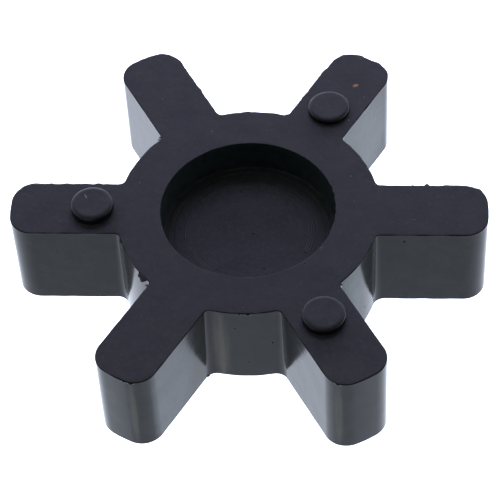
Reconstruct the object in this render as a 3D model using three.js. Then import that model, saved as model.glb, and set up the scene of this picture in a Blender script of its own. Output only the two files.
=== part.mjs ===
// Elastomer spider of a three-jaw flexible coupling, closed-centre type.
//
// Millimetres, +Z along the shaft axis. The origin is the centre of the part, on the
// axis at mid-thickness, and +X runs out along the first leg.
//
// The spider is one rubber moulding. It is laid out here as its working regions, which
// meet face to face: a hub ring, a web that closes the ring's middle, six legs that the
// jaws press on, and six small nubs that hold the two coupling hubs off the legs.

import * as THREE from 'three';

// ---- Driving dimensions -------------------------------------------------------------

const OUTSIDE_RADIUS = 25.4;      // axis to leg tip
const THICKNESS = 10.85;          // flat top face to flat bottom face
const LEG_COUNT = 6;              // one between each pair of neighbouring jaws
const LEG_WIDTH = 6.88;
const TIP_CORNER_RADIUS = 2.45;   // upright rounding on both sides of a leg's tip
const TIP_CROWN_RADIUS = 13.2;    // bulge of the tip seen from above
const HUB_RADIUS = 13.97;         // outside of the ring, between the legs
const ROOT_FILLET_RADIUS = 1.1;   // hollow corner where a leg leaves the ring
const RECESS_RADIUS = 9.3;        // round recess in each face, shaft end clearance
const RECESS_DEPTH = 3.75;
const NUB_RADIUS = 2.25;
const NUB_HEIGHT = 1.0;
const NUB_EDGE_RADIUS = 0.35;     // rounding of the nub's outer edge
const NUB_PITCH_RADIUS = 16.6;    // axis to nub centre

// Chords that stand for each round stretch.

const CORNER_STEPS = 6;
const CROWN_STEPS = 6;
const FILLET_STEPS = 5;
const HUB_ARC_STEPS = 6;
const RECESS_STEPS = 72;
const NUB_EDGE_STEPS = 3;
const NUB_STEPS = 28;

// ---- Values that follow from them ---------------------------------------------------

const LEG_PITCH = 2 * Math.PI / LEG_COUNT;
const HALF_WIDTH = LEG_WIDTH / 2;
const HALF_THICKNESS = THICKNESS / 2;
const WEB_THICKNESS = THICKNESS - 2 * RECESS_DEPTH;

// The fillet's centre lies its own radius off the leg's flank and off the ring. Each leg
// starts where its flanks leave the fillets, so that a leg is a plain convex block.
const FILLET_Y = HALF_WIDTH + ROOT_FILLET_RADIUS;
const FILLET_X = Math.sqrt((HUB_RADIUS + ROOT_FILLET_RADIUS) ** 2 - FILLET_Y ** 2);
const FILLET_ANGLE = Math.atan2(FILLET_Y, FILLET_X);

// The tip corner's centre lies its own radius inside the flank and inside the crown.
const CROWN_X = OUTSIDE_RADIUS - TIP_CROWN_RADIUS;
const CORNER_Y = HALF_WIDTH - TIP_CORNER_RADIUS;
const CORNER_REACH = Math.sqrt((TIP_CROWN_RADIUS - TIP_CORNER_RADIUS) ** 2 - CORNER_Y ** 2);
const CORNER_X = CROWN_X + CORNER_REACH;
const CROWN_ANGLE = Math.atan2(CORNER_Y, CORNER_REACH);

// ---- Materials: black nitrile rubber, duller on the faces than on the jaw flanks -----

const rubber = (color, roughness) =>
  new THREE.MeshStandardMaterial({ color, roughness, metalness: 0 });

// ---- Outlines -----------------------------------------------------------------------

/** Points along an arc with both ends, angles in radians. */
function arc(x, y, radius, from, to, steps) {
  return Array.from({ length: steps + 1 }, (_, i) => {
    const angle = from + (to - from) * i / steps;
    return new THREE.Vector2(x + radius * Math.cos(angle), y + radius * Math.sin(angle));
  });
}

/** A full circle as points, without the repeated last one. */
function circle(radius, steps) {
  return arc(0, 0, radius, 0, 2 * Math.PI, steps).slice(0, steps);
}

/** Outline of one leg that points along +X: flat root, flanks, rounded corners, crown. */
function legOutline() {
  const right = Math.PI / 2;
  return [
    new THREE.Vector2(FILLET_X, -HALF_WIDTH),
    ...arc(CORNER_X, -CORNER_Y, TIP_CORNER_RADIUS, -right, -CROWN_ANGLE, CORNER_STEPS),
    ...arc(CROWN_X, 0, TIP_CROWN_RADIUS, -CROWN_ANGLE, CROWN_ANGLE, CROWN_STEPS).slice(1, -1),
    ...arc(CORNER_X, CORNER_Y, TIP_CORNER_RADIUS, CROWN_ANGLE, right, CORNER_STEPS),
    new THREE.Vector2(FILLET_X, HALF_WIDTH),
  ];
}

/** One sixth of the ring's outline: both root fillets of the leg on +X, then the ring. */
function hubSector() {
  const inward = Math.PI - FILLET_ANGLE;
  const right = Math.PI / 2;
  const radius = ROOT_FILLET_RADIUS;
  return [
    ...arc(FILLET_X, -FILLET_Y, radius, inward, right, FILLET_STEPS),
    ...arc(FILLET_X, FILLET_Y, radius, -right, -inward, FILLET_STEPS),
    ...arc(0, 0, HUB_RADIUS, FILLET_ANGLE, LEG_PITCH - FILLET_ANGLE, HUB_ARC_STEPS).slice(1, -1),
  ];
}

// ---- Solids -------------------------------------------------------------------------

/** A flat outline with an optional hole, extruded evenly to both sides of mid-thickness. */
function slab(outline, thickness, hole) {
  const shape = new THREE.Shape(outline);
  if (hole) shape.holes.push(new THREE.Path(hole));
  const geometry = new THREE.ExtrudeGeometry(shape, { depth: thickness, bevelEnabled: false });
  return geometry.translate(0, 0, -thickness / 2);
}

function hubRing() {
  const axis = new THREE.Vector2();
  const outline = Array.from({ length: LEG_COUNT }, (_, i) =>
    hubSector().map((point) => point.rotateAround(axis, i * LEG_PITCH))).flat();
  const geometry = slab(outline, THICKNESS, circle(RECESS_RADIUS, RECESS_STEPS));
  const mesh = new THREE.Mesh(geometry, rubber(0x34363f, 0.62));
  mesh.name = 'hub_ring';
  return mesh;
}

function centreWeb() {
  const geometry = slab(circle(RECESS_RADIUS, RECESS_STEPS), WEB_THICKNESS);
  const mesh = new THREE.Mesh(geometry, rubber(0x2c2e35, 0.7));
  mesh.name = 'centre_web';
  return mesh;
}

function leg(number) {
  const mesh = new THREE.Mesh(slab(legOutline(), THICKNESS), rubber(0x3c4047, 0.5));
  mesh.name = `leg_${number}`;
  return mesh;
}

/** A spacer nub: a low round boss with a rounded edge, standing on a flat base. */
function nub(name) {
  const edge = NUB_EDGE_RADIUS;
  const profile = [
    new THREE.Vector2(0, 0),
    new THREE.Vector2(NUB_RADIUS, 0),
    ...arc(NUB_RADIUS - edge, NUB_HEIGHT - edge, edge, 0, Math.PI / 2, NUB_EDGE_STEPS),
    new THREE.Vector2(0, NUB_HEIGHT),
  ];
  const geometry = new THREE.LatheGeometry(profile, NUB_STEPS).rotateX(Math.PI / 2);
  const mesh = new THREE.Mesh(geometry, rubber(0x2a2c30, 0.5));
  mesh.name = name;
  return mesh;
}

// ---- Assembly -----------------------------------------------------------------------

/** A leg and its nub, turned to the leg's place; nubs alternate between the two faces. */
function legStation(index) {
  const number = index + 1;
  const onTop = number % 2 === 0;
  const boss = nub(`spacer_nub_${onTop ? 'top' : 'bottom'}_${number}`);
  boss.position.set(NUB_PITCH_RADIUS, 0, onTop ? HALF_THICKNESS : -HALF_THICKNESS);
  boss.rotation.x = onTop ? 0 : Math.PI;
  const station = new THREE.Group();
  station.rotation.z = index * LEG_PITCH;
  station.add(leg(number), boss);
  return station;
}

const group = new THREE.Group();
group.add(hubRing(), centreWeb());
for (let index = 0; index < LEG_COUNT; index += 1) {
  group.add(legStation(index));
}

export default group;
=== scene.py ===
"""Looks of the rubber spider of a jaw coupling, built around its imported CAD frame.

Shapes are worked out in millimetres and scaled to metres when a mesh is written. The moulding
is built as one seamless surface and then parted into the same regions as the CAD nodes, each
a closed piece that keeps the seamless surface's normals, so that no joint shows.
"""

import math

import bpy
import numpy as np
from mathutils import Matrix, Vector
from mathutils.geometry import delaunay_2d_cdt


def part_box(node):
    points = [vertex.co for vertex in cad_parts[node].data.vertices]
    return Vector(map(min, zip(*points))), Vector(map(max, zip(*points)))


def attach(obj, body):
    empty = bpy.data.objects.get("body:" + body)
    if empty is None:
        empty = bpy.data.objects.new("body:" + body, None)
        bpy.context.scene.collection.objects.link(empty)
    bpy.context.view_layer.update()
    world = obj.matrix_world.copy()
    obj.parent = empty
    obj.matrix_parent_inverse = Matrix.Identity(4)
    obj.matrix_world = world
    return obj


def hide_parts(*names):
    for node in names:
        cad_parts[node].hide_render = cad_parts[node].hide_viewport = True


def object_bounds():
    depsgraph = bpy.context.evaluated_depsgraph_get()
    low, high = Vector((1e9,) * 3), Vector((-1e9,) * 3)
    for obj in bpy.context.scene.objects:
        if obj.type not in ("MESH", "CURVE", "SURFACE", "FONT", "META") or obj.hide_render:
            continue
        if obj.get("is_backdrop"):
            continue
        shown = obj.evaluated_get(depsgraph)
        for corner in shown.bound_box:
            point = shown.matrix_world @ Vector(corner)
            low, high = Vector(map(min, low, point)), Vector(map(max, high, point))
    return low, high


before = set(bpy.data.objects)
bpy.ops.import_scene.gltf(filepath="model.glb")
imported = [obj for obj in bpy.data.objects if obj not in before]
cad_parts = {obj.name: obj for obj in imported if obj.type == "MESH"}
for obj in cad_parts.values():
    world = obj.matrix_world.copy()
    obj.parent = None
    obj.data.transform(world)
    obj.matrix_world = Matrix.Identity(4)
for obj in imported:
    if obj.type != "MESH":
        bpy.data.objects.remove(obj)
cad_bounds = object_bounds()

MM = 0.001
LEG_COUNT = 6
LEG_PITCH = 2 * math.pi / LEG_COUNT

# ---- Dimensions in millimetres, read from the frame ----


def box_mm(node):
    """Lowest and highest corner of a CAD node, in millimetres."""
    low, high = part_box(node)
    return np.array(low) / MM, np.array(high) / MM


def ring_radius_between_legs():
    """Outer radius of the hub ring halfway between two legs."""
    points = np.array([v.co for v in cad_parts["hub_ring"].data.vertices]) / MM
    halfway = np.abs(np.arctan2(points[:, 1], points[:, 0]) - LEG_PITCH / 2) < 0.01
    return np.hypot(points[halfway, 0], points[halfway, 1]).max()


leg_low, leg_high = box_mm("leg_1")
nub_low, nub_high = box_mm("spacer_nub_top_4")
web_high = box_mm("centre_web")[1]

TIP_REACH = leg_high[0]
ROOT_X = leg_low[0]
HALF_WIDTH = leg_high[1]
HALF_THICKNESS = leg_high[2]
RECESS_RADIUS = web_high[0]
HALF_WEB = web_high[2]
HUB_RADIUS = ring_radius_between_legs()
NUB_RADIUS = (nub_high[1] - nub_low[1]) / 2
NUB_HEIGHT = nub_high[2] - nub_low[2]

# The roundings of a leg's tip seen from above, which a box doesn't give.
TIP_CORNER_RADIUS = 2.45
TIP_CROWN_RADIUS = 13.2

# A root fillet touches the ring and the leg's flank, and meets the flank at ROOT_X. The
# moulding's fillets are tighter than that at the top edge and wider at the bottom one.
FILLET_RADIUS = (ROOT_X**2 + HALF_WIDTH**2 - HUB_RADIUS**2) / (2 * (HUB_RADIUS - HALF_WIDTH))
TOP_FILLET_RADIUS = 0.6 * FILLET_RADIUS
BOTTOM_FILLET_RADIUS = 1.2 * FILLET_RADIUS

# ---- Fineness of the mesh, in steps or millimetres ----

FILLET_STEPS = 14
FLANK_STEPS = 58
CORNER_STEPS = 24
CROWN_STEPS = 16
RING_STEPS = 38
WALL_SPACING = 0.5
CAP_SPACING = 0.5
RECESS_STEPS = 288
RECESS_WALL_STEPS = 8
RECESS_RING_SPACING = 0.11
NUB_STEPS = 112
NUB_EDGE_STEPS = 15
NUB_TOP_STEPS = 16

# ---- Edges, wear and unevenness, in millimetres ----

# The edge's rows between the flat face and the plain wall: how far each lies inside the
# outline, its share of the flash's reach, its depth below the face, its share of the droop.
EDGE_INSET = 0.16
FLASH_DEPTH = 0.32
EDGE_ROWS = [
    (EDGE_INSET, 0, 0, 0),
    (0.085, 0, 0.01, 0),
    (0.035, 0.5, 0.035, 0.3),
    (0.01, 0.9, 0.07, 0.8),
    (0, 1, 0.11, 1),
    (0, 0.62, 0.16, 1),
    (0, 0.14, 0.23, 0.6),
    (0, 0, FLASH_DEPTH, 0),
]

# The edge is never sharper than the first of these shares of its rounding. Where it is sharp,
# its rows also lie less deep, towards the second share.
SHARPEST = 0.1
SHARP_DEPTH = 0.35

# About how far ragged flash reaches on the top and the bottom edge, and the lengths of its
# patches, its tears and its fine tears, of its droops, and of the edge's blunter stretches.
TOP_FLASH = 0.3
BOTTOM_FLASH = 0.07
PATCH_LENGTH = 5.0
TEAR_LENGTH = 0.85
FINE_TEAR_LENGTH = 0.34
DROOP_LENGTH = 1.4
BLUNT_LENGTH = 1.1

# The flash grows along Y between these two places, from this share of its strength.
CLEAN_Y = -14
TORN_Y = -1
CLEAN_SHARE = 0.25

# The outer side of the flash is this many rows wide. Where the flash reaches further than
# this, its outer side looks like the flat face that it hangs from.
TAB_ROWS = 4
WIDE_TAB = 0.15

# The rows of a recess's rim: how far each lies outside the wall, its depth below the face,
# and its share of the rim's nicks. The plain wall starts at the last depth.
RIM_ROWS = [(EDGE_INSET, 0, 0), (0.012, 0.002, 1), (0, 0.02, 1), (0, 0.12, 0.6)]
RIM_DEPTH = 0.25

# The rim is uneven by the first of these, and torn by up to the second on the side that
# lies at this angle, in radians. The next two are the widths of both, in radians.
RIM_UNEVEN = 0.015
RIM_TEAR = 0.2
TORN_SIDE = 0.1
UNEVEN_ANGLE = 0.12
TEAR_ANGLE = 0.045

# The rim lies this far off the axis, and the floor on it. A small fillet joins wall and floor.
RIM_SHIFT = np.array([-0.06, 0.1])
RECESS_FILLET = 0.1
FILLET_TURNS = np.radians([22.5, 45, 67.5, 90])

# The turning marks on a recess's floor: the width and height of the fine and the coarse
# rings, how much higher the fine ones get around one radius, and the width beside the
# fillet over which all ease out.
FINE_RING = 0.24
FINE_HEIGHT = 0.006
COARSE_RING = 0.8
COARSE_HEIGHT = 0.008
MARKED_HEIGHT = 0.03
MARKED_RADIUS = 7.0
MARKED_WIDTH = 1.2
MARKS_EASE = 0.4

# The waves of the moulding's skin: how far each stands out, and its width.
SKIN_WAVES = [(0.008, 2.6), (0.002, 0.9)]

# A nub's worn edge: how far it reaches in from the side, and how far it drops. Its foot is
# sunk into its leg.
NUB_EDGE_WIDTH = 0.5
NUB_EDGE_DROP = 0.24
NUB_SUNK = 0.3

# How far a nub's uneven skin stands out, each wave's share of that and its width, and the
# height above its leg over which it grows.
NUB_RELIEF = 0.016
NUB_WAVES = [(0.75, 0.9), (0.25, 0.35)]
NUB_PLAIN_FOOT = 0.3

# How high two of the nubs were filled by the mould, as a share of the drawn height.
NUB_FILL = {"spacer_nub_top_2": 0.68, "spacer_nub_top_6": 0.88}

# Each kind of noise has a seed of its own. A sum of several takes the next ones too.
BLUNT_SEED = 11
DROOP_SEED = 21
TOP_FLASH_SEED = 31
BOTTOM_FLASH_SEED = 41
TURNING_SEED = 51
RIM_SEED = 61
SKIN_SEED = 71
FIRST_NUB_SEED = 81


# ---- Noise ----


def noise_along(place, length, knot, seed):
    """Smooth noise from -1 to 1 along a closed line, with features of about one knot."""
    count = max(4, round(length / knot))
    values = np.random.default_rng(seed).uniform(-1, 1, count)
    t = place / length * count
    low = np.floor(t).astype(int)
    share = t - low
    share = share * share * (3 - 2 * share)
    return values[low % count] * (1 - share) + values[(low + 1) % count] * share


def noise_field(points, size, seed):
    """Smooth noise from -1 to 1 at points (n, 3), with features of about one size."""
    table = np.random.default_rng(seed).uniform(-1, 1, 4096)
    cell = points / size
    base = np.floor(cell).astype(np.int64)
    share = cell - base
    share = share * share * (3 - 2 * share)
    total = np.zeros(len(points))
    for corner in np.ndindex(2, 2, 2):
        at = base + corner
        key = (at[:, 0] * 73856093 ^ at[:, 1] * 19349663 ^ at[:, 2] * 83492791) & 4095
        total += table[key] * np.prod(np.where(corner, share, 1 - share), axis=1)
    return total


def layered_noise(points, waves, seed):
    """A sum of noise fields: each wave is its height and its width."""
    return sum(height * noise_field(points, width, seed + i)
               for i, (height, width) in enumerate(waves))


# ---- The outline seen from above ----


def arc(x, y, radius, start, end, side, steps):
    """Points along an arc without its last one, and their normals: side 1 is outwards."""
    angle = np.linspace(start, end, steps, endpoint=False)
    ray = np.column_stack([np.cos(angle), np.sin(angle)])
    return np.array([x, y]) + radius * ray, side * ray


def flank(start_x, end_x, y):
    """Points along a leg's flank without the last one, and their normals."""
    x = np.linspace(start_x, end_x, FLANK_STEPS, endpoint=False)
    normal = np.tile([0.0, math.copysign(1.0, y)], (FLANK_STEPS, 1))
    return np.column_stack([x, np.full(FLANK_STEPS, y)]), normal


def sector_stretches(fillet):
    """The stretches of one sixth of the outline, counter-clockwise, for the leg on +X."""
    fillet_y = HALF_WIDTH + fillet
    fillet_x = math.sqrt((HUB_RADIUS + fillet) ** 2 - fillet_y**2)
    fillet_angle = math.atan2(fillet_y, fillet_x)
    crown_x = TIP_REACH - TIP_CROWN_RADIUS
    corner = TIP_CORNER_RADIUS
    corner_y = HALF_WIDTH - corner
    corner_reach = math.sqrt((TIP_CROWN_RADIUS - corner) ** 2 - corner_y**2)
    corner_x = crown_x + corner_reach
    crown = math.atan2(corner_y, corner_reach)
    right = math.pi / 2
    inward = math.pi - fillet_angle
    return {
        "fillet_right": arc(fillet_x, -fillet_y, fillet, inward, right, -1, FILLET_STEPS),
        "flank_right": flank(fillet_x, corner_x, -HALF_WIDTH),
        "corner_right": arc(corner_x, -corner_y, corner, -right, -crown, 1, CORNER_STEPS),
        "crown": arc(crown_x, 0, TIP_CROWN_RADIUS, -crown, crown, 1, CROWN_STEPS),
        "corner_left": arc(corner_x, corner_y, corner, crown, right, 1, CORNER_STEPS),
        "flank_left": flank(corner_x, fillet_x, HALF_WIDTH),
        "fillet_left": arc(fillet_x, fillet_y, fillet, -right, -inward, -1, FILLET_STEPS),
        "ring": arc(0, 0, HUB_RADIUS, fillet_angle, LEG_PITCH - fillet_angle, 1, RING_STEPS),
    }


def turned(points, angle):
    """2-D points turned about the axis."""
    c, s = math.cos(angle), math.sin(angle)
    return points @ np.array([[c, s], [-s, c]])


def whole_outline(fillet):
    """Points and normals of the whole outline, for one radius of the root fillets."""
    stretches = sector_stretches(fillet).values()
    sector = [np.vstack(part) for part in zip(*stretches)]
    angles = [i * LEG_PITCH for i in range(LEG_COUNT)]
    return [np.vstack([turned(part, a) for a in angles]) for part in sector]


class Outline:
    """The outline at every height, with the same count of points in each stretch."""

    def __init__(self):
        self.top = whole_outline(TOP_FILLET_RADIUS)
        self.bottom = whole_outline(BOTTOM_FILLET_RADIUS)
        self.counts = {k: len(p) for k, (p, _) in sector_stretches(FILLET_RADIUS).items()}
        self.first = dict(zip(self.counts, np.cumsum([0, *self.counts.values()])))
        self.per_sector = sum(self.counts.values())
        self.count = self.per_sector * LEG_COUNT
        middle = self.at(0)[0]
        gaps = np.linalg.norm(np.roll(middle, -1, axis=0) - middle, axis=1)
        self.place = np.concatenate([[0], np.cumsum(gaps)[:-1]])
        self.length = gaps.sum()

    def at(self, z):
        """Points and normals at one height, or at one height for each point."""
        share = np.reshape((HALF_THICKNESS - np.asarray(z)) / (2 * HALF_THICKNESS), (-1, 1))
        points, normals = (t * (1 - share) + b * share for t, b in zip(self.top, self.bottom))
        return points, normals / np.linalg.norm(normals, axis=1)[:, None]

    def index(self, leg, stretch, share=0.0):
        """Index of the point at a share of the way along one stretch of a leg's sector."""
        step = round(share * self.counts[stretch])
        return (leg - 1) * self.per_sector + self.first[stretch] + step

    def noise(self, knot, seed):
        """Smooth noise from -1 to 1 along the outline."""
        return noise_along(self.place, self.length, knot, seed)

    def blunt(self):
        """How blunt the edge is, up to 1: the mould's halves lie a little out of line, so
        they leave a rounded edge on the side towards -Y and a sharp lip opposite."""
        facing_back = self.at(0)[1][:, 1]
        turned_away = 0.15 + 0.85 * np.clip(0.5 - 0.8 * facing_back, 0, 1)
        uneven = 0.78 + 0.5 * self.noise(BLUNT_LENGTH, BLUNT_SEED)
        return np.clip(turned_away * uneven, SHARPEST, 1)

    def bump(self, leg, stretch, share, width):
        """A rounded bump from 0 to 1 around one place on the outline."""
        gap = np.abs(self.place - self.place[self.index(leg, stretch, share) % self.count])
        gap = np.minimum(gap, self.length - gap)
        return np.clip(1 - (2 * gap / width) ** 2, 0, None) ** 0.5


# Torn tabs of flash that hang over the top edge: leg, stretch, share along it, width, reach.
TOP_TABS = [
    (1, "flank_left", 0.45, 0.4, 0.4),
    (1, "flank_left", 0.62, 0.3, 0.32),
    (2, "fillet_left", 0.55, 0.5, 0.35),
    (3, "flank_right", 0.45, 1.0, 0.14),
    (3, "corner_right", 0.75, 0.7, 0.16),
    (3, "crown", 0.2, 0.7, 0.22),
    (3, "crown", 0.55, 0.6, 0.16),
    (3, "fillet_left", 0.2, 0.35, 0.3),
    (3, "fillet_left", 0.7, 0.5, 0.4),
    (4, "ring", 0.08, 0.5, 0.14),
    (4, "ring", 0.84, 0.6, 0.38),
    (4, "ring", 0.93, 0.75, 0.48),
    (5, "fillet_right", 0.85, 0.5, 0.45),
    (5, "corner_left", 0.02, 0.3, 0.1),
    (5, "corner_left", 0.2, 0.45, 0.12),
    (5, "ring", 0.46, 0.3, 0.1),
    (5, "ring", 0.58, 0.4, 0.12),
    (6, "corner_right", 0.5, 0.45, 0.12),
    (6, "fillet_left", 0.6, 0.5, 0.22),
]
BOTTOM_TABS = [
    (5, "fillet_left", 0.2, 0.3, 0.14),
    (6, "fillet_left", 0.3, 0.3, 0.2),
]


def flash(outline, tabs, strength, seed):
    """How far the torn flash stands out of an edge: it is torn on edges that face +Y, more
    so at the back, and nearly clean on the others."""
    patch = np.clip(0.75 + 0.5 * outline.noise(PATCH_LENGTH, seed), 0.4, 1)
    points, normals = outline.at(0)
    further_back = np.clip((points[:, 1] - CLEAN_Y) / (TORN_Y - CLEAN_Y), CLEAN_SHARE, 1)
    facing_back = np.clip(0.1 + normals[:, 1], 0.1, 1)
    patch *= further_back * facing_back
    ragged = 0.4 + 0.5 * outline.noise(TEAR_LENGTH, seed + 1)
    ragged += 0.35 * outline.noise(FINE_TEAR_LENGTH, seed + 2)
    reach = strength * patch * np.clip(ragged, 0, None)
    for leg, stretch, share, width, tab_reach in tabs:
        reach = np.maximum(reach, tab_reach * outline.bump(leg, stretch, share, width))
    return reach


# ---- The seamless surface ----

FACE, WALL, RECESS, HOLLOW = range(4)
RING, WEB = 0, LEG_COUNT + 1


def quads_between(upper, lower):
    """Quads (n, 4) between two closed rows of the same length."""
    return np.column_stack([upper, lower, np.roll(lower, -1), np.roll(upper, -1)])


class Surface:
    """Vertices in millimetres, and faces with a material and a region for each."""

    def __init__(self):
        self.blocks = []
        self.count = 0
        self.faces = []
        self.materials = []
        self.regions = []

    def add(self, points):
        """Adds points (n, 3) and gives their indices."""
        self.blocks.append(np.asarray(points, float))
        self.count += len(points)
        return np.arange(self.count - len(points), self.count)

    def add_faces(self, faces, materials, regions, flip=False):
        """Adds faces (n, 3 or 4), with one material and one region or one for each."""
        self.faces += (faces[:, ::-1] if flip else faces).tolist()
        self.materials += np.broadcast_to(materials, len(faces)).tolist()
        self.regions += list(np.broadcast_to(regions, len(faces)))

    def bridge(self, upper, lower, materials, regions, flip=False):
        """Quads between two closed rows of the same length; they face out unless flipped."""
        self.add_faces(quads_between(upper, lower), materials, regions, flip)

    def fan(self, row, height, material, region, flip=False):
        """Closes a row with triangles around a point on the axis; they face up unless flipped."""
        middle = np.full(len(row), self.add([[0, 0, height]])[0])
        triangles = np.column_stack([row, np.roll(row, -1), middle])
        self.add_faces(triangles, material, region, flip)

    def points(self):
        """All points so far (n, 3)."""
        return np.vstack(self.blocks)


def level_ring(radius, height, steps):
    """A closed row of points around the axis, with one radius and height or one for each."""
    angle = np.arange(steps) * 2 * math.pi / steps
    return np.column_stack([radius * np.cos(angle), radius * np.sin(angle),
                            np.full(steps, height)])


def column_regions(outline):
    """The region of each column of the side wall: its leg's number, or the ring."""
    step = np.arange(outline.count) % outline.per_sector
    on_leg = (step >= outline.first["flank_right"]) & (step < outline.first["fillet_left"])
    leg = np.arange(outline.count) // outline.per_sector + 1
    return np.where(on_leg, leg, RING)


def side_rows(outline, side, reach, droop):
    """Rows of points down from the flat face to the plain wall, past the flash of one edge."""
    blunt = outline.blunt()
    rows = []
    for inset, share, depth, droop_share in EDGE_ROWS:
        if inset < EDGE_INSET:
            inset = inset * blunt
        if depth < FLASH_DEPTH:
            depth = depth * (SHARP_DEPTH + (1 - SHARP_DEPTH) * blunt)
        z = side * (HALF_THICKNESS - depth - droop_share * droop * reach)
        z = np.broadcast_to(z, outline.count)
        points, normals = outline.at(z)
        out = np.broadcast_to(share * reach - inset, outline.count)
        rows.append(np.column_stack([points + out[:, None] * normals, z]))
    return rows


def build_side(surface, outline):
    """The outer wall with the flash on both edges; gives its index rows from top to bottom."""
    droop = 0.5 + 0.5 * outline.noise(DROOP_LENGTH, DROOP_SEED)
    top_reach = flash(outline, TOP_TABS, TOP_FLASH, TOP_FLASH_SEED)
    bottom_reach = flash(outline, BOTTOM_TABS, BOTTOM_FLASH, BOTTOM_FLASH_SEED)
    top = side_rows(outline, 1, top_reach, droop)
    bottom = side_rows(outline, -1, bottom_reach, droop)
    limit = HALF_THICKNESS - FLASH_DEPTH
    levels = np.linspace(limit, -limit, round(2 * limit / WALL_SPACING) + 1)[1:-1]
    plain = [np.column_stack([outline.at(z)[0], np.full(outline.count, z)]) for z in levels]
    rows = [surface.add(row) for row in top + plain + bottom[::-1]]
    regions = column_regions(outline)
    last = len(rows) - 2
    for i, (upper, lower) in enumerate(zip(rows, rows[1:])):
        step = min(i, last - i)
        reach = top_reach if i == step else bottom_reach
        like_face = (step < 1) | ((step < TAB_ROWS) & (reach > WIDE_TAB))
        surface.bridge(upper, lower, np.where(like_face, FACE, WALL), regions)
    return rows


def turning_marks(radius, angle):
    """Height of the tool marks on a recess floor: fine rings that fade in and out."""
    # The pattern repeats only far outside the floor.
    repeat = 40.0
    fine = noise_along(radius, repeat, FINE_RING, TURNING_SEED)
    coarse = noise_along(radius, repeat, COARSE_RING, TURNING_SEED + 1)
    band = np.exp(-(((radius - MARKED_RADIUS) / MARKED_WIDTH) ** 2))
    fade = 0.6 + 0.4 * np.sin(2 * angle + 0.9 * radius) * np.sin(angle - 0.4 * radius)
    return (FINE_HEIGHT + MARKED_HEIGHT * band) * fine * fade + COARSE_HEIGHT * coarse


def recess_rows(side):
    """Rows of points from the rim of a recess, down its wall and in over its floor, and the
    row where the wall ends."""
    depth = HALF_THICKNESS - HALF_WEB
    angle = np.arange(RECESS_STEPS) * 2 * math.pi / RECESS_STEPS
    torn = np.clip(np.cos(angle - TORN_SIDE), 0, 1) ** 2
    tears = np.clip(noise_along(angle, 2 * math.pi, TEAR_ANGLE, RIM_SEED + 1) - 0.3, 0, 1)
    nick = RIM_UNEVEN * noise_along(angle, 2 * math.pi, UNEVEN_ANGLE, RIM_SEED)
    nick += RIM_TEAR * torn * tears
    wall = np.linspace(RIM_DEPTH, depth - RECESS_FILLET, RECESS_WALL_STEPS)
    profile = RIM_ROWS + [(0, d, 0) for d in wall]
    for turn in FILLET_TURNS:
        inset = RECESS_FILLET * (1 - math.cos(turn))
        profile.append((-inset, depth - RECESS_FILLET * (1 - math.sin(turn)), 0))
    rows = []
    for out, down, share in profile:
        radius = RECESS_RADIUS + out + share * nick
        row = level_ring(radius, side * (HALF_THICKNESS - down), RECESS_STEPS)
        row[:, :2] += RIM_SHIFT * (1 - down / depth)
        rows.append(row)
    web_row = len(rows) - len(FILLET_TURNS) - 1
    edge = RECESS_RADIUS - RECESS_FILLET
    for radius in np.linspace(edge, 0, round(edge / RECESS_RING_SPACING) + 1)[1:-1]:
        ease = min(1.0, (edge - radius) / MARKS_EASE)
        marks = ease * turning_marks(np.full(RECESS_STEPS, radius), angle)
        rows.append(level_ring(radius, side * (HALF_WEB + marks), RECESS_STEPS))
    return rows, web_row


def build_recess(surface, side):
    """One recess; gives its rim row and the row where the wall turns into the web."""
    points, web_row = recess_rows(side)
    rows = [surface.add(row) for row in points]
    hollow_rows = web_row + len(FILLET_TURNS) - 2
    floor_rows = len(rows) - 2 - hollow_rows
    materials = [FACE] + [HOLLOW] * hollow_rows + [RECESS] * floor_rows
    for i, (upper, lower) in enumerate(zip(rows, rows[1:])):
        region = RING if i < web_row else WEB
        surface.bridge(upper, lower, materials[i], region, flip=side > 0)
    surface.fan(rows[-1], side * HALF_WEB, RECESS, WEB, flip=side < 0)
    return rows[0], rows[web_row]


def chord_points(start, end):
    """Points across a leg's root, strictly between the two ends of the face's edge row."""
    steps = round(np.linalg.norm(end - start) / CAP_SPACING)
    return start + np.linspace(0, 1, steps + 1)[1:-1, None] * (end - start)


def inside_face(points, outer):
    """Which 2-D points lie between the recess's rim and the face's outer edge row."""
    edge_angle = np.arctan2(outer[:, 1], outer[:, 0])
    order = np.argsort(edge_angle)
    edge_radius = np.hypot(outer[:, 0], outer[:, 1])[order]
    angle = np.arctan2(points[:, 1], points[:, 0])
    limit = np.interp(angle, edge_angle[order], edge_radius, period=2 * math.pi)
    x, y = (points - RIM_SHIFT).T
    return (np.hypot(x, y) > RECESS_RADIUS + EDGE_INSET) & (np.hypot(*points.T) < limit)


def lattice_inside(fixed, outer):
    """A triangular lattice of points on the flat face, clear of the fixed points."""
    count = math.ceil(TIP_REACH / CAP_SPACING)
    steps = np.arange(-count, count + 1)
    column, row = np.meshgrid(steps, steps)
    x = (column + 0.5 * (row % 2)) * CAP_SPACING
    y = row * CAP_SPACING * math.sqrt(3) / 2
    grid = np.column_stack([x.ravel(), y.ravel()])
    grid = grid[inside_face(grid, outer)]
    gap = np.min([np.hypot(*(grid - p).T) for p in fixed], axis=0)
    return grid[gap > 0.45 * CAP_SPACING]


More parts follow.
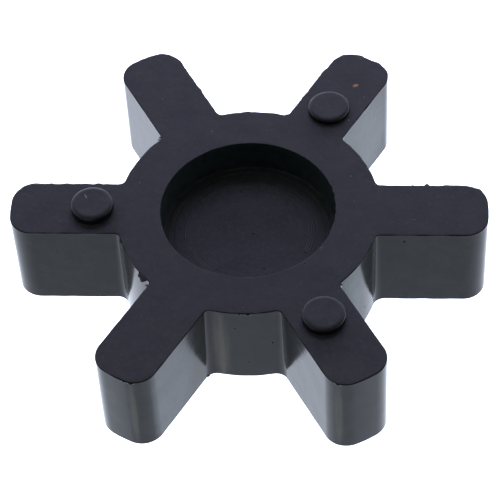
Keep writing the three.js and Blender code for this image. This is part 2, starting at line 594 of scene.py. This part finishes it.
def triangulate_face(outer, rim, chord_ends):
    """Points and triangles of a flat face, over its outer row, its rim row and points put
    in between, with the row of points across each leg's root."""
    chords = [chord_points(outer[start], outer[end]) for start, end in chord_ends]
    fixed = np.vstack([outer, rim] + chords)
    first = len(outer) + len(rim)
    edges = [(i, (i + 1) % len(outer)) for i in range(len(outer))]
    edges += [(len(outer) + i, len(outer) + (i + 1) % len(rim)) for i in range(len(rim))]
    chord_rows = []
    for chord, (start, end) in zip(chords, chord_ends):
        row = [start, *range(first, first + len(chord)), end]
        edges += list(zip(row, row[1:]))
        chord_rows.append(row)
        first += len(chord)
    flat = np.vstack([fixed, lattice_inside(fixed, outer)])
    made = delaunay_2d_cdt([Vector(p) for p in flat], edges, [], 0, 1e-6)
    source = [found[0] for found in made[3]]
    triangles = np.array([[source[i] for i in face] for face in made[2]])
    a, b, c = (flat[triangles[:, i]] for i in range(3))
    area = np.cross(b - a, c - a)
    triangles[area < 0] = triangles[area < 0][:, ::-1]
    keep = inside_face((a + b + c) / 3, outer) & (np.abs(area) > 1e-7)
    return flat, triangles[keep], chord_rows


def face_regions(centres, root_x):
    """The region of each triangle of a flat face, from its centre."""
    angle = np.arctan2(centres[:, 1], centres[:, 0])
    leg = np.round(angle / LEG_PITCH).astype(int) % LEG_COUNT
    along = centres[:, 0] * np.cos(leg * LEG_PITCH) + centres[:, 1] * np.sin(leg * LEG_PITCH)
    return np.where(along > root_x, leg + 1, RING)


def build_faces(surface, outline, edge_rows, rim_rows):
    """Both flat faces; gives each one's rows across the legs' roots as surface indices."""
    ends = [(outline.index(leg, "flank_right"), outline.index(leg, "fillet_left"))
            for leg in range(1, LEG_COUNT + 1)]
    chords = []
    for side, edge_row, rim_row in zip((1, -1), edge_rows, rim_rows):
        points = surface.points()
        outer, rim = points[edge_row, :2], points[rim_row, :2]
        flat, triangles, chord_rows = triangulate_face(outer, rim, ends)
        added = flat[len(outer) + len(rim):]
        z = np.full(len(added), side * HALF_THICKNESS)
        own = surface.add(np.column_stack([added, z]))
        to_surface = np.concatenate([edge_row, rim_row, own])
        regions = face_regions(flat[triangles].mean(axis=1), outer[ends[0][0], 0])
        surface.add_faces(to_surface[triangles], FACE, regions, flip=side < 0)
        chords.append([to_surface[row] for row in chord_rows])
    return chords


def vertex_normals(points, faces):
    """Area-weighted normals of the vertices."""
    normals = np.zeros_like(points)
    for size in (3, 4):
        group = np.array([face for face in faces if len(face) == size])
        if len(group) == 0:
            continue
        corners = points[group]
        area = np.cross(corners[:, 2] - corners[:, 0], corners[:, -1] - corners[:, 1])
        for i in range(size):
            np.add.at(normals, group[:, i], area)
    return normals / np.linalg.norm(normals, axis=1)[:, None]


# ---- Writing meshes ----


def write_mesh(name, points, faces, materials, slots, corner_normals):
    """A Blender object from millimetre points, with a normal for each face corner."""
    mesh = bpy.data.meshes.new(name)
    mesh.from_pydata((points * MM).tolist(), [], faces)
    for material in materials:
        mesh.materials.append(material)
    mesh.polygons.foreach_set("material_index", slots)
    mesh.polygons.foreach_set("use_smooth", [True] * len(faces))
    mesh.update()
    mesh.normals_split_custom_set(corner_normals)
    piece = bpy.data.objects.new(name, mesh)
    bpy.context.scene.collection.objects.link(piece)
    return piece


def polygon_normal(points):
    """Unit normal of one polygon (n, 3)."""
    total = np.cross(points, np.roll(points, -1, axis=0)).sum(axis=0)
    return total / np.linalg.norm(total)


def write_region(name, surface, points, normals, region, cuts, materials):
    """One region of the surface as a closed piece, with its cut faces flat."""
    chosen = [i for i, r in enumerate(surface.regions) if r == region]
    faces = [surface.faces[i] for i in chosen] + cuts
    slots = [surface.materials[i] for i in chosen] + [WALL] * len(cuts)
    corner_normals = [normals[v] for face in faces[:len(chosen)] for v in face]
    for cut in cuts:
        corner_normals += [polygon_normal(points[cut])] * len(cut)
    used, flat = np.unique(np.concatenate(faces), return_inverse=True)
    ends = np.cumsum([len(face) for face in faces])[:-1]
    local = [part.tolist() for part in np.split(flat.ravel(), ends)]
    return write_mesh(name, points[used], local, materials, slots, corner_normals)


def leg_cuts(wall_rows, chords):
    """The closed loop of vertices around each leg's root, facing back to the axis."""
    wall = np.array(wall_rows)
    cuts = []
    for top, bottom in zip(*chords):
        right, left = (wall[:, wall[0] == end].ravel() for end in (top[0], top[-1]))
        loop = np.concatenate([top[:-1], left[:-1], bottom[:0:-1], right[:0:-1]])
        cuts.append(loop.tolist())
    return cuts


# ---- Materials ----


class Material:
    """A material with short calls for the nodes that its detail is made of. Its place is in
    millimetres."""

    def __init__(self, name):
        self.material = bpy.data.materials.new(name)
        self.material.use_nodes = True
        self.nodes = self.material.node_tree.nodes
        self.links = self.material.node_tree.links
        self.shader = self.nodes["Principled BSDF"]
        place = self.nodes.new("ShaderNodeTexCoord").outputs["Object"]
        self.place = self.vector("SCALE", place, scale=1 / MM)

    def put(self, socket, value):
        """Links an output to a socket, or sets the socket to a constant."""
        if isinstance(value, bpy.types.NodeSocket):
            self.links.new(value, socket)
        else:
            socket.default_value = value

    def vector(self, operation, a, b=None, scale=None):
        """The result of one vector operation."""
        node = self.nodes.new("ShaderNodeVectorMath")
        node.operation = operation
        self.put(node.inputs[0], a)
        if b is not None:
            self.put(node.inputs[1], b)
        if scale is not None:
            self.put(node.inputs["Scale"], scale)
        number = operation in ("LENGTH", "DISTANCE", "DOT_PRODUCT")
        return node.outputs["Value" if number else "Vector"]

    def math(self, operation, a, b=0.0):
        """The result of one operation on numbers."""
        node = self.nodes.new("ShaderNodeMath")
        node.operation = operation
        self.put(node.inputs[0], a)
        self.put(node.inputs[1], b)
        return node.outputs[0]

    def times(self, a, b):
        """The product of two numbers."""
        return self.math("MULTIPLY", a, b)

    def plus(self, a, b):
        """The sum of two numbers."""
        return self.math("ADD", a, b)

    def part(self, vector, axis):
        """One of the three numbers of a vector."""
        node = self.nodes.new("ShaderNodeSeparateXYZ")
        self.links.new(vector, node.inputs[0])
        return node.outputs[axis]

    def facing(self):
        """Which way the surface faces, as a unit vector."""
        return self.nodes.new("ShaderNodeNewGeometry").outputs["Normal"]

    def noise(self, size, detail=2.0, place=None, roughness=0.5):
        """Noise from 0 to 1 whose features are about size millimetres."""
        node = self.nodes.new("ShaderNodeTexNoise")
        node.inputs["Scale"].default_value = 1 / size
        node.inputs["Detail"].default_value = detail
        node.inputs["Roughness"].default_value = roughness
        self.put(node.inputs["Vector"], self.place if place is None else place)
        return node.outputs["Fac"]

    def between(self, value, low, high, start=0.0, end=1.0):
        """A value mapped from low..high to start..end, smoothly and clamped."""
        node = self.nodes.new("ShaderNodeMapRange")
        node.interpolation_type = "SMOOTHSTEP"
        self.put(node.inputs["Value"], value)
        for socket, number in zip(("From Min", "From Max", "To Min", "To Max"),
                                  (low, high, start, end)):
            node.inputs[socket].default_value = number
        return node.outputs["Result"]

    def spots(self, cell, radius, share):
        """A mask of round spots, in a share of the cells of that size in millimetres."""
        node = self.nodes.new("ShaderNodeTexVoronoi")
        node.inputs["Scale"].default_value = 1 / cell
        self.put(node.inputs["Vector"], self.place)
        spot = self.between(node.outputs["Distance"], radius / cell, 0.55 * radius / cell)
        pick = self.nodes.new("ShaderNodeSeparateColor")
        self.links.new(node.outputs["Color"], pick.inputs[0])
        chosen = self.math("LESS_THAN", pick.outputs[0], share)
        return self.times(spot, chosen)

    def mark(self, centre, along, length, width, ragged=0.35):
        """A mask of one long mark around a centre, along a unit direction, in millimetres."""
        away = self.vector("SUBTRACT", self.place, centre)
        lengthwise = self.vector("DOT_PRODUCT", away, along)
        squeeze = self.times(lengthwise, 2 / length - 2 / width)
        spread = self.vector("ADD", self.vector("SCALE", away, scale=2 / width),
                             self.vector("SCALE", along, scale=squeeze))
        edge = self.times(self.noise(0.6 * width, 3.0), 2 * ragged)
        reach = self.plus(self.vector("LENGTH", spread), edge)
        return self.between(reach, 1.0 + ragged, 0.45 + ragged)

    def mix(self, share, a, b):
        """A colour that is a where the share is 0, and b where it is 1."""
        node = self.nodes.new("ShaderNodeMix")
        node.data_type = "RGBA"
        self.put(node.inputs["Factor"], share)
        self.put(node.inputs["A"], a)
        self.put(node.inputs["B"], b)
        return node.outputs["Result"]

    def coats(self, colour, coats):
        """A colour under coats, each of which is its share and its own colour."""
        for share, coat in coats:
            colour = self.mix(share, colour, coat)
        return colour

    def bumps(self, heights):
        """Bumps on top of each other: each is a height, and how many millimetres 1 is."""
        normal = None
        for height, depth in heights:
            node = self.nodes.new("ShaderNodeBump")
            node.inputs["Distance"].default_value = depth * MM
            self.put(node.inputs["Height"], height)
            if normal is not None:
                self.links.new(normal, node.inputs["Normal"])
            normal = node.outputs["Normal"]
        return normal

    def finish(self, colour, roughness, normal, ior=1.4):
        """Hands the looks to the shader, and gives the material."""
        self.put(self.shader.inputs["Base Color"], colour)
        self.put(self.shader.inputs["Roughness"], roughness)
        self.put(self.shader.inputs["IOR"], ior)
        self.links.new(normal, self.shader.inputs["Normal"])
        return self.material


# Places on the flat face: the middle of the dustier leg 3, the middle of the front of the
# ring, which is darkened by painted shade, a nick in the rim of the recess, painted near-black
# as its shade, and a rust stain.
DUSTY_PLACE = (-9.2, 17.0, 5.4)
SHADED_PLACE = (0, -4.0, 5.4)
NICK_PLACE = (-2.19, -9.05, 5.4)
STAIN_PLACE = (11.2, 18.0, 5.4)


def face_rubber():
    """Matte bluish-black moulded face: cloudy, mottled, with painted shade on the front of the
    ring, with dust, pits and a rim nick painted near-black as their shade, and one rust stain."""
    rubber = Material("rubber_face")
    cloud = rubber.noise(2.8, 3.0)
    blotch = rubber.noise(1.1, 4.0, roughness=0.65)
    mottle = rubber.noise(0.5, 4.0, roughness=0.7)
    from_dusty = rubber.vector("DISTANCE", rubber.place, DUSTY_PLACE)
    from_shaded = rubber.vector("DISTANCE", rubber.place, SHADED_PLACE)
    dust = rubber.spots(1.5, 0.12, rubber.between(from_dusty, 8.0, 4.0, 0.22, 0.6))
    fine_dust = rubber.spots(0.8, 0.07, 0.12)
    pits = rubber.spots(1.9, 0.14, 0.26)
    nick = rubber.mark(NICK_PLACE, (0.97, -0.24, 0), 1.7, 0.5)
    stain = rubber.mark(STAIN_PLACE, (0.94, 0.34, 0), 0.85, 0.5)
    colour = rubber.coats((0.0068, 0.0064, 0.0108, 1), [
        (rubber.between(cloud, 0.35, 0.65), (0.0148, 0.0124, 0.016, 1)),
        (rubber.between(mottle, 0.5, 0.75), (0.026, 0.025, 0.029, 1)),
        (rubber.between(blotch, 0.52, 0.7), (0.024, 0.0225, 0.026, 1)),
        (rubber.between(blotch, 0.46, 0.3), (0.003, 0.003, 0.005, 1)),
        # Painted shade: the front of the ring is darkened.
        (rubber.between(from_shaded, 20.0, 6.0, 0.0, 0.45), (0.003, 0.003, 0.006, 1)),
        (rubber.times(dust, 0.55), (0.16, 0.16, 0.17, 1)),
        (rubber.times(fine_dust, 0.5), (0.2, 0.2, 0.21, 1)),
        # Painted shade: the pits and the nick in the rim are painted near-black.
        (rubber.math("MAXIMUM", pits, nick), (0.001, 0.001, 0.001, 1)),
        (stain, (0.36, 0.17, 0.075, 1)),
    ])
    roughness = rubber.between(blotch, 0.3, 0.7, 0.53, 0.65)
    normal = rubber.bumps([(mottle, 0.012), (cloud, 0.05), (rubber.times(pits, -1.0), 0.07)])
    return rubber.finish(colour, roughness, normal)


# Pale brownish streaks down the near walls, painted reflections of a warm-coloured thing,
# longer than these are high: centre, width and strength.
REFLECTION_LENGTH = 14.0
WARM_REFLECTIONS = [
    ((-2.5, -13.74, 0), 2.3, 0.47),
    ((-2.42, -13.76, -1), 0.8, 0.65),
    ((-10.93, -22.75, 0), 0.9, 0.5),
    ((9.91, -22.68, 0), 1.1, 0.45),
]

# A thin grey painted sheen, standing for the bright floor's reflection, on the walls that face
# one way: centre, length and strength of each patch, which runs along the wall and is higher
# than it, so it covers the wall's full height.
SHEEN_FACING = (0.866, -0.5, 0)
SHEEN_ALONG = (0.5, 0.866, 0)
SHEEN_HEIGHT = 18.0
SHEEN_PATCHES = [
    ((-7.7, -20.2, 0), 11.5, 0.6),
    ((11.0, 12.1, 0), 18.0, 0.85),
    ((10.3, -9.4, 0), 6.8, 0.95),
]

# Small torn pits in the near walls: centre, height and width.
WALL_PITS = [
    ((-0.9, -13.94, 2.9), 0.2, 0.2),
    ((2.9, -13.67, 0.2), 0.3, 0.2),
    ((0.3, -13.97, -2.8), 0.25, 0.28),
    ((3.96, -13.4, -2.1), 0.6, 0.2),
    ((12.4, -6.5, -2.9), 0.35, 0.3),
    ((13.3, -4.25, -4.6), 0.35, 0.3),
    ((16.5, -3.44, 4.4), 0.55, 0.2),
]


def painted_sheen(rubber, scuff):
    """The coats of painted sheen on the walls that face one way, a little cloudy."""
    facing = rubber.vector("DOT_PRODUCT", rubber.facing(), SHEEN_FACING)
    facing = rubber.between(facing, 0.9, 0.985)
    cloudy = rubber.times(facing, rubber.between(scuff, 0.3, 0.7, 0.8, 1.0))
    for centre, length, strength in SHEEN_PATCHES:
        patch = rubber.mark(centre, SHEEN_ALONG, length, SHEEN_HEIGHT, 0.05)
        yield rubber.times(patch, rubber.times(cloudy, strength)), (0.054, 0.069, 0.068, 1)


def painted_reflections(rubber, streak):
    """The coats of the painted warm reflections, which are streaky."""
    for centre, width, strength in WARM_REFLECTIONS:
        reflection = rubber.mark(centre, (0, 0, 1), REFLECTION_LENGTH, width, 0.2)
        reflection = rubber.times(reflection, rubber.between(streak, 0.3, 0.6, 0.6, 1.0))
        yield rubber.times(reflection, strength), (0.055, 0.048, 0.035, 1)


def wall_rubber():
    """Smoother moulded side wall: faint upright streaks, scuffs, a painted sheen on the walls
    that face one way, painted warm reflections, and pits painted near-black as their shade.
    """
    rubber = Material("rubber_wall")
    upright = rubber.vector("MULTIPLY", rubber.place, (1, 1, 0.1))
    level = rubber.vector("MULTIPLY", rubber.place, (0.25, 0.25, 1))
    streak = rubber.noise(0.7, 3.0, upright)
    band = rubber.noise(1.1, 3.0, level, 0.6)
    scuff = rubber.noise(1.5, 4.0, roughness=0.65)
    grain = rubber.noise(0.18, 2.0)
    pits = rubber.spots(3.4, 0.1, 0.3)
    for centre, height, width in WALL_PITS:
        pits = rubber.math("MAXIMUM", pits, rubber.mark(centre, (0, 0, 1), height, width))
    colour = rubber.coats((0.003, 0.0038, 0.0038, 1), [
        (rubber.between(scuff, 0.36, 0.64), (0.007, 0.008, 0.0078, 1)),
        # Painted sheen: a paler grey on the walls that face one way, for the floor's reflection.
        *painted_sheen(rubber, scuff),
        # Painted reflections: pale brownish streaks down the near walls.
        *painted_reflections(rubber, streak),
        # Painted shade: the pits are painted near-black.
        (pits, (0.002, 0.002, 0.002, 1)),
    ])
    roughness = rubber.plus(rubber.times(streak, 0.05), 0.08)
    roughness = rubber.plus(rubber.times(scuff, 0.1), roughness)
    normal = rubber.bumps([(streak, 0.005), (band, 0.004), (scuff, 0.012), (grain, 0.001),
                           (rubber.times(pits, -1.0), 0.03)])
    gloss = rubber.math("SUBTRACT", 0.5, rubber.times(pits, 0.5))
    rubber.put(rubber.shader.inputs["Specular IOR Level"], gloss)
    return rubber.finish(colour, roughness, normal, ior=1.22)


def hollow_rubber():
    """Dark greenish wall of a recess, a little uneven, with painted light that makes it paler
    towards its foot.
    """
    rubber = Material("rubber_hollow")
    height = rubber.math("ABSOLUTE", rubber.part(rubber.place, "Z"))
    cloud = rubber.noise(1.2, 3.0)
    grain = rubber.noise(0.25, 3.0)
    lit_foot = rubber.between(height, HALF_THICKNESS - 0.3, HALF_WEB)
    colour = rubber.coats((0.012, 0.0175, 0.0175, 1), [
        # Painted light: the wall is paler towards its foot.
        (lit_foot, (0.026, 0.034, 0.034, 1)),
        (rubber.between(cloud, 0.55, 0.4, 0.0, 0.25), (0.003, 0.006, 0.006, 1)),
    ])
    roughness = rubber.plus(rubber.times(grain, 0.2), 0.45)
    normal = rubber.bumps([(cloud, 0.02), (grain, 0.008)])
    return rubber.finish(colour, roughness, normal, ior=1.15)


def recess_rubber():
    """Recess left by a turned mould plug: concentric tool marks that fade round the floor, with
    painted shade in the grooves and towards the wall, and painted highlights on the ridges and
    along the foot of the wall.
    """
    rubber = Material("rubber_recess")
    flat = rubber.vector("MULTIPLY", rubber.place, (1, 1, 0))
    radius = rubber.vector("LENGTH", flat)
    across = rubber.nodes.new("ShaderNodeCombineXYZ")
    rubber.links.new(radius, across.inputs[0])
    rings = rubber.noise(0.24, 4.0, across.outputs[0], 0.75)
    cloud = rubber.noise(2.6, 3.0)
    patches = rubber.noise(1.4, 3.0)
    mottle = rubber.noise(0.45, 4.0, roughness=0.7)
    pits = rubber.spots(1.5, 0.15, 0.3)
    band = rubber.between(radius, 4.6, 6.6, 0.1, 1.0)
    fading = rubber.times(band, rubber.between(patches, 0.4, 0.6, 0.25, 1.0))
    shaded_groove = rubber.times(rubber.between(rings, 0.48, 0.4), fading)
    lit_ridge = rubber.times(rubber.between(rings, 0.52, 0.6), fading)
    foot = rubber.between(patches, 0.4, 0.65, 0.2, 0.7)
    foot = rubber.times(rubber.between(radius, 9.0, 9.1), foot)
    colour = rubber.coats((0.009, 0.0092, 0.0135, 1), [
        (rubber.between(cloud, 0.35, 0.65), (0.0165, 0.0167, 0.0225, 1)),
        (rubber.between(mottle, 0.4, 0.85), (0.042, 0.041, 0.046, 1)),
        # Painted shade: the floor is darker towards the recess's wall.
        (rubber.between(radius, 6.0, 8.8), (0.006, 0.0085, 0.0085, 1)),
        # Painted shade in the grooves of the tool marks, and a painted highlight on their ridges.
        (shaded_groove, (0.002, 0.002, 0.002, 1)),
        (rubber.times(lit_ridge, 0.65), (0.075, 0.072, 0.07, 1)),
        # Painted highlight: a paler line along the foot of the wall.
        (foot, (0.03, 0.038, 0.038, 1)),
        # Painted shade: the pits are painted near-black.
        (pits, (0.002, 0.002, 0.002, 1)),
    ])
    roughness = rubber.plus(rubber.times(mottle, 0.2), 0.5)
    normal = rubber.bumps([(rubber.times(rings, fading), 0.05), (mottle, 0.02),
                           (rubber.times(pits, -1.0), 0.08)])
    return rubber.finish(colour, roughness, normal)


# The middle of the scratch on a nub's top, and the way it runs.
SCRATCH_PLACE = (-17.3, 0.85, 6.4)
SCRATCH_ALONG = (0.42, -0.907, 0)


def nub_rubber():
    """Nub: satin, softly mottled, with painted shade that makes its side blacker, and a pale
    scratch on one's top.
    """
    rubber = Material("rubber_nub")
    level = rubber.math("ABSOLUTE", rubber.part(rubber.facing(), "Z"))
    side = rubber.between(level, 0.97, 0.7)
    mottle = rubber.noise(0.6, 4.0, roughness=0.65)
    cloud = rubber.noise(1.6, 2.0)
    scratch = rubber.mark(SCRATCH_PLACE, SCRATCH_ALONG, 0.95, 0.2, 0.15)
    colour = rubber.coats((0.0075, 0.0078, 0.0095, 1), [
        (cloud, (0.0135, 0.0138, 0.0162, 1)),
        (rubber.between(mottle, 0.55, 0.8), (0.025, 0.025, 0.029, 1)),
        # Painted shade: the nub's side is painted near-black.
        (side, (0.002, 0.0022, 0.0026, 1)),
        (rubber.times(scratch, 0.7), (0.2, 0.2, 0.21, 1)),
    ])
    roughness = rubber.plus(rubber.times(mottle, 0.14), 0.44)
    roughness = rubber.math("SUBTRACT", roughness, rubber.times(side, 0.16))
    normal = rubber.bumps([(mottle, 0.02), (cloud, 0.03)])
    return rubber.finish(colour, roughness, normal, ior=1.36)


# ---- Pieces ----


def place_piece(piece, node):
    """Puts a piece in its CAD node's place, under the root body, and hides the node."""
    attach(piece, "root")
    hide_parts(node)


def build_moulding():
    """The moulding as one surface, parted into the ring, the web and the six legs."""
    outline = Outline()
    surface = Surface()
    rows = build_side(surface, outline)
    top_rim, top_web = build_recess(surface, 1)
    bottom_rim, bottom_web = build_recess(surface, -1)
    chords = build_faces(surface, outline, (rows[0], rows[-1]), (top_rim, bottom_rim))
    points = surface.points()
    normals = vertex_normals(points, surface.faces)
    relief = layered_noise(points, SKIN_WAVES, SKIN_SEED)
    points = points + normals * relief[:, None]
    normals = vertex_normals(points, surface.faces)
    materials = [face_rubber(), wall_rubber(), recess_rubber(), hollow_rubber()]
    root_cuts = leg_cuts(rows, chords)
    rim_cut = quads_between(top_web, bottom_web).tolist()
    ring_cuts = [cut[::-1] for cut in root_cuts + rim_cut]

    def write(name, region, cuts, node):
        """Writes one region, and puts it in its node's place."""
        piece = write_region(name, surface, points, normals, region, cuts, materials)
        place_piece(piece, node)

    write("ring_rubber", RING, ring_cuts, "hub_ring")
    write("web_rubber", WEB, rim_cut, "centre_web")
    for leg, cut in enumerate(root_cuts, start=1):
        write(f"leg_{leg}_rubber", leg, [cut], f"leg_{leg}")


def nub_profile(height):
    """Radius and height of the nub's rows, from its sunk foot to the middle of its top."""
    side = [(NUB_RADIUS, -NUB_SUNK), (NUB_RADIUS, -0.02), (NUB_RADIUS - 0.01, 0.1)]
    edge = [(NUB_RADIUS - NUB_EDGE_WIDTH * (1 - math.cos(t)),
             height - NUB_EDGE_DROP * (1 - math.sin(t)))
            for t in np.linspace(0, math.pi / 2, NUB_EDGE_STEPS)]
    flat = NUB_RADIUS - NUB_EDGE_WIDTH
    top = [(r, height) for r in np.linspace(flat, 0, NUB_TOP_STEPS)[1:-1]]
    return side + edge + top


def nub_surface(top_height):
    """A nub's plain surface, on the axis, with its foot sunk below a height of 0."""
    surface = Surface()
    rows = [surface.add(level_ring(radius, height, NUB_STEPS))
            for radius, height in nub_profile(top_height)]
    for lower, upper in zip(rows, rows[1:]):
        surface.bridge(upper, lower, 0, 0)
    surface.fan(rows[-1], top_height, 0, 0)
    surface.fan(rows[0], -NUB_SUNK, 0, 0, flip=True)
    return surface


def build_nub(node, material, seed):
    """One spacer nub, standing on its leg and sunk a little into it."""
    low, high = box_mm(node)
    centre = (low + high) / 2
    side = 1 if centre[2] > 0 else -1
    surface = nub_surface(NUB_HEIGHT * NUB_FILL.get(node, 1.0))
    points = surface.points()
    normals = vertex_normals(points, surface.faces)
    relief = NUB_RELIEF * layered_noise(points + 9.0 * seed, NUB_WAVES, seed)
    relief *= np.clip(points[:, 2] / NUB_PLAIN_FOOT, 0, 1)
    points = points + normals * relief[:, None]
    if side < 0:
        points = points * [1, -1, -1]
    points = points + [centre[0], centre[1], side * HALF_THICKNESS]
    normals = vertex_normals(points, surface.faces)
    corners = [normals[v] for face in surface.faces for v in face]
    name = f"{node.replace('spacer_nub', 'nub')}_rubber"
    piece = write_mesh(name, points, surface.faces, [material], surface.materials, corners)
    place_piece(piece, node)


def build_nubs():
    """All spacer nubs, each with its own unevenness."""
    material = nub_rubber()
    nodes = sorted(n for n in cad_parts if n.startswith("spacer_nub"))
    for seed, node in enumerate(nodes, start=FIRST_NUB_SEED):
        build_nub(node, material, seed)


# ---- Stage, light and camera ----

# The camera stands at this azimuth and elevation, turned by a small roll. The distance and
# the two shifts, in millimetres, put the middle of the lower face in the camera's frame.
CAMERA_AZIMUTH = math.radians(4.976)
CAMERA_ELEVATION = math.radians(50.798)
CAMERA_ROLL = math.radians(3.502)
CAMERA_DISTANCE = 250.07
CAMERA_RIGHT = 0.233
CAMERA_UP = -2.528
CAMERA_LENS = 164.1
SENSOR_WIDTH = 36.0

# The floor reaches this far, in millimetres, and its far edge turns up with this radius.
FLOOR_REACH = 1500
FLOOR_BEND = 450
FLOOR_STEPS = 72
BEND_STEPS = 9
FLOOR_COLOUR = (0.4, 0.4, 0.4, 1)

# The floor glows as strongly as this, and less towards -Y: the dimming starts and ends at
# these places along Y, in millimetres.
GLOW_COLOUR = (0.92, 1.0, 1.16, 1)
FLOOR_GLOW = 2.03
FRONT_GLOW = 0.6
FLOOR_DIM_FROM = -45
FLOOR_DIM_TO = -200

# Soft rectangular lights, in metres and watts: name, place, the point it faces, width,
# height, power and colour.
WHITE = (1, 1, 1)
COOL = (0.955, 0.98, 1.42)
LIGHTS = [
    ("back_high", (0.0, 0.5, 0.55), (0, 0, 0), 0.7, 0.35, 1.3, COOL),
    ("back_low", (0.0, 0.5, 0.16), (0, 0, 0), 0.9, 0.2, 1.0, COOL),
    ("left_fill", (-0.55, 0.1, 0.4), (0, 0, 0), 0.4, 0.4, 0.57, WHITE),
    ("right_fill", (0.45, 0.0, 0.12), (0.1, 0, 0), 0.5, 0.15, 0.25, WHITE),
    ("overhead", (0.0, -0.05, 0.8), (0, 0, 0), 0.5, 0.5, 0.7, WHITE),
]
WORLD_COLOUR = (0.9, 0.96, 1.1, 1)
WORLD_STRENGTH = 0.02


def build_camera():
    """The photo's camera: a long lens that looks down on the front of the part."""
    az, el = CAMERA_AZIMUTH, CAMERA_ELEVATION
    back = Vector((math.sin(az) * math.cos(el), -math.cos(az) * math.cos(el), math.sin(el)))
    right = Vector((math.cos(az), math.sin(az), 0))
    up = back.cross(right)
    level = Matrix((right, up, back)).transposed()
    turn = level @ Matrix.Rotation(-CAMERA_ROLL, 3, "Z")
    offset = turn @ Vector((CAMERA_RIGHT, CAMERA_UP, -CAMERA_DISTANCE))
    place = Vector((0, 0, -HALF_THICKNESS)) - offset
    data = bpy.data.cameras.new("camera")
    data.lens = CAMERA_LENS
    data.sensor_width = SENSOR_WIDTH
    data.clip_start = 0.01
    camera = bpy.data.objects.new("camera", data)
    camera.matrix_world = Matrix.Translation(place * MM) @ turn.to_4x4()
    bpy.context.scene.collection.objects.link(camera)
    bpy.context.scene.camera = camera


def floor_mesh():
    """A level disc whose far edge turns up, just below the feet of the lower nubs."""
    ground = -HALF_THICKNESS - NUB_HEIGHT - NUB_RELIEF
    surface = Surface()
    rows = []
    for turn in np.linspace(0, math.pi / 2, BEND_STEPS):
        radius = FLOOR_REACH - FLOOR_BEND * (1 - math.sin(turn))
        height = ground + FLOOR_BEND * (1 - math.cos(turn))
        rows.append(surface.add(level_ring(radius, height, FLOOR_STEPS)))
    surface.fan(rows[0], ground, 0, 0)
    for inner, outer in zip(rows, rows[1:]):
        surface.bridge(inner, outer, 0, 0)
    mesh = bpy.data.meshes.new("floor")
    mesh.from_pydata((surface.points() * MM).tolist(), [], surface.faces)
    mesh.polygons.foreach_set("use_smooth", [True] * len(surface.faces))
    return mesh


def floor_material():
    """A pale sheet that glows, as a lit table does, and less towards the front."""
    sheet = Material("pale_floor")
    glow = sheet.between(sheet.part(sheet.place, "Y"), FLOOR_DIM_FROM, FLOOR_DIM_TO,
                         FLOOR_GLOW, FRONT_GLOW)
    for socket, value in (("Base Color", FLOOR_COLOUR), ("Roughness", 0.9),
                          ("Emission Color", GLOW_COLOUR), ("Emission Strength", glow)):
        sheet.put(sheet.shader.inputs[socket], value)
    return sheet.material


def build_floor():
    """The glowing floor that the part stands on, which isn't a piece of it."""
    mesh = floor_mesh()
    mesh.materials.append(floor_material())
    floor = bpy.data.objects.new("floor", mesh)
    bpy.context.scene.collection.objects.link(floor)
    floor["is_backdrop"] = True


def add_light(name, place, target, width, height, power, colour):
    """One soft light that faces its target."""
    data = bpy.data.lights.new(name, "AREA")
    data.shape = "RECTANGLE"
    data.size = width
    data.size_y = height
    data.energy = power
    data.color = colour
    light = bpy.data.objects.new(name, data)
    light.location = place
    aim = Vector(target) - Vector(place)
    light.rotation_euler = aim.to_track_quat("-Z", "Y").to_euler()
    bpy.context.scene.collection.objects.link(light)


def build_light():
    """A bright soft wall of light behind the part, and weaker fills around it."""
    for light in LIGHTS:
        add_light(*light)
    world = bpy.data.worlds.new("studio")
    world.use_nodes = True
    background = world.node_tree.nodes["Background"]
    background.inputs["Color"].default_value = WORLD_COLOUR
    background.inputs["Strength"].default_value = WORLD_STRENGTH
    bpy.context.scene.world = world
    bpy.context.scene.view_settings.view_transform = "Standard"


build_camera()
build_floor()
build_light()
build_moulding()
build_nubs()


def plain(bounds):
    """Two corners as plain lists."""
    return [[float(v) for v in corner] for corner in bounds]


{"cad": plain(cad_bounds), "visual": plain(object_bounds())}
